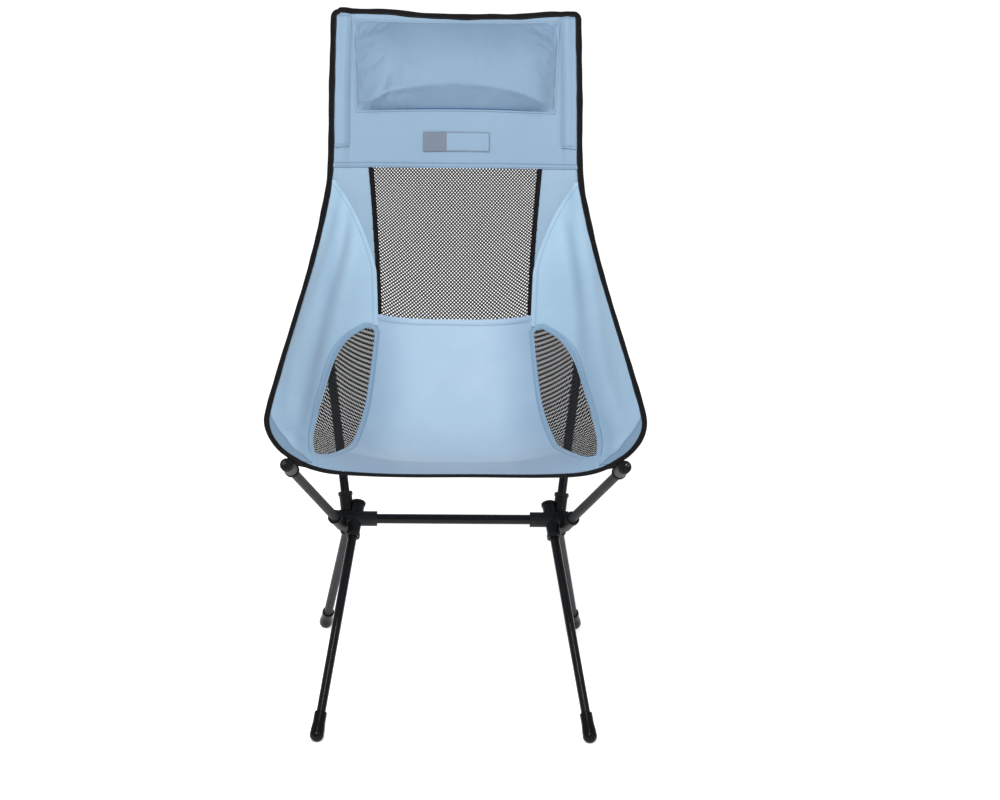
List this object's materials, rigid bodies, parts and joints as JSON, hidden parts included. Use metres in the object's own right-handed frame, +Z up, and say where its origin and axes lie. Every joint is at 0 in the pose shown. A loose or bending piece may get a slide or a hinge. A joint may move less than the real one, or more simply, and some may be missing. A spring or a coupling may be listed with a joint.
{
  "type": "ultralight backpacking chair",
  "caption": "High-back packable camping chair: plug-together tube frame on two hubs, with a fabric and mesh sling seat, rounded wings and a stuffed head pillow.",
  "frame": {"origin": "on the ground, under the middle of the chair's box", "axes": "+Z up, the sitter faces -Y, +X is on the right of someone looking at the chair's front"},
  "size_m": [0.5474, 0.5968, 0.9697],
  "materials": {
    "tube_black": "black anodised, satin",
    "tube_grey": "dark grey anodised, matt",
    "hub_plastic": "black glass-filled nylon, fine grain",
    "cap_plastic": "black, polished",
    "shock_cord": "braided elastic, matt",
    "sling_fabric": "light blue ripstop polyester, faint sheen",
    "mesh_fabric": "black open mesh",
    "binding_tape": "black woven tape",
    "pocket_fabric": "dark grey webbing",
    "rivet_metal": "bright",
    "stuffing": "white hollow-fibre wadding",
    "patch_fabric": "grey-blue woven patch"
  },
  "bodies": {
    "root": {"crossbar_tube": "tube_black", "crossbar_cord": "shock_cord", "hub_left": "hub_plastic", "hub_right": "hub_plastic", "seat_strut_left": "tube_grey", "seat_strut_right": "tube_grey", "strut_tip_left": "cap_plastic", "strut_tip_right": "cap_plastic", "strut_cord_left": "shock_cord", "strut_cord_right": "shock_cord", "back_pole_lower_left": "tube_black", "back_pole_lower_right": "tube_black", "back_pole_upper_left": "tube_black", "back_pole_upper_right": "tube_black", "pole_elbow_left": "hub_plastic", "pole_elbow_right": "hub_plastic", "pole_tip_left": "cap_plastic", "pole_tip_right": "cap_plastic", "pole_cord_left": "shock_cord", "pole_cord_right": "shock_cord", "seat_panel": "sling_fabric", "back_mesh": "mesh_fabric", "mesh_tape_left": "binding_tape", "mesh_tape_right": "binding_tape", "side_mesh_left": "mesh_fabric", "side_mesh_right": "mesh_fabric", "wing_left": "sling_fabric", "wing_right": "sling_fabric", "shoulder_left": "sling_fabric", "shoulder_right": "sling_fabric", "head_panel": "sling_fabric", "edge_binding": "binding_tape", "corner_patch_left": "sling_fabric", "corner_patch_right": "sling_fabric", "corner_pocket_left": "pocket_fabric", "corner_pocket_right": "pocket_fabric", "rivet_left": "rivet_metal", "rivet_right": "rivet_metal", "pole_sleeve_left": "sling_fabric", "pole_sleeve_right": "sling_fabric", "pillow_cover": "sling_fabric", "pillow_fill": "stuffing", "label_patch": "patch_fabric"},
    "front_leg_left": {"front_leg_left": "tube_black", "front_foot_left": "cap_plastic", "front_leg_cord_left": "shock_cord"},
    "front_leg_right": {"front_leg_right": "tube_black", "front_foot_right": "cap_plastic", "front_leg_cord_right": "shock_cord"},
    "rear_leg_left": {"rear_leg_left": "tube_black", "rear_foot_left": "cap_plastic", "rear_leg_cord_left": "shock_cord"},
    "rear_leg_right": {"rear_leg_right": "tube_black", "rear_foot_right": "cap_plastic", "rear_leg_cord_right": "shock_cord"}
  },
  "joints": [
    {"name": "front_leg_left_pull", "type": "slide", "parent": "root", "child": "front_leg_left", "axis": [-0.1408, -0.7111, -0.6888], "range_m": [0, 0.034], "stiffness_N_per_m": 40, "springref_m": -0.12},
    {"name": "front_leg_right_pull", "type": "slide", "parent": "root", "child": "front_leg_right", "axis": [0.1408, -0.7111, -0.6888], "range_m": [0, 0.034], "stiffness_N_per_m": 40, "springref_m": -0.12},
    {"name": "rear_leg_left_pull", "type": "slide", "parent": "root", "child": "rear_leg_left", "axis": [-0.118, 0.708, -0.6963], "range_m": [0, 0.034], "stiffness_N_per_m": 40, "springref_m": -0.12},
    {"name": "rear_leg_right_pull", "type": "slide", "parent": "root", "child": "rear_leg_right", "axis": [0.118, 0.708, -0.6963], "range_m": [0, 0.034], "stiffness_N_per_m": 40, "springref_m": -0.12}
  ]
}
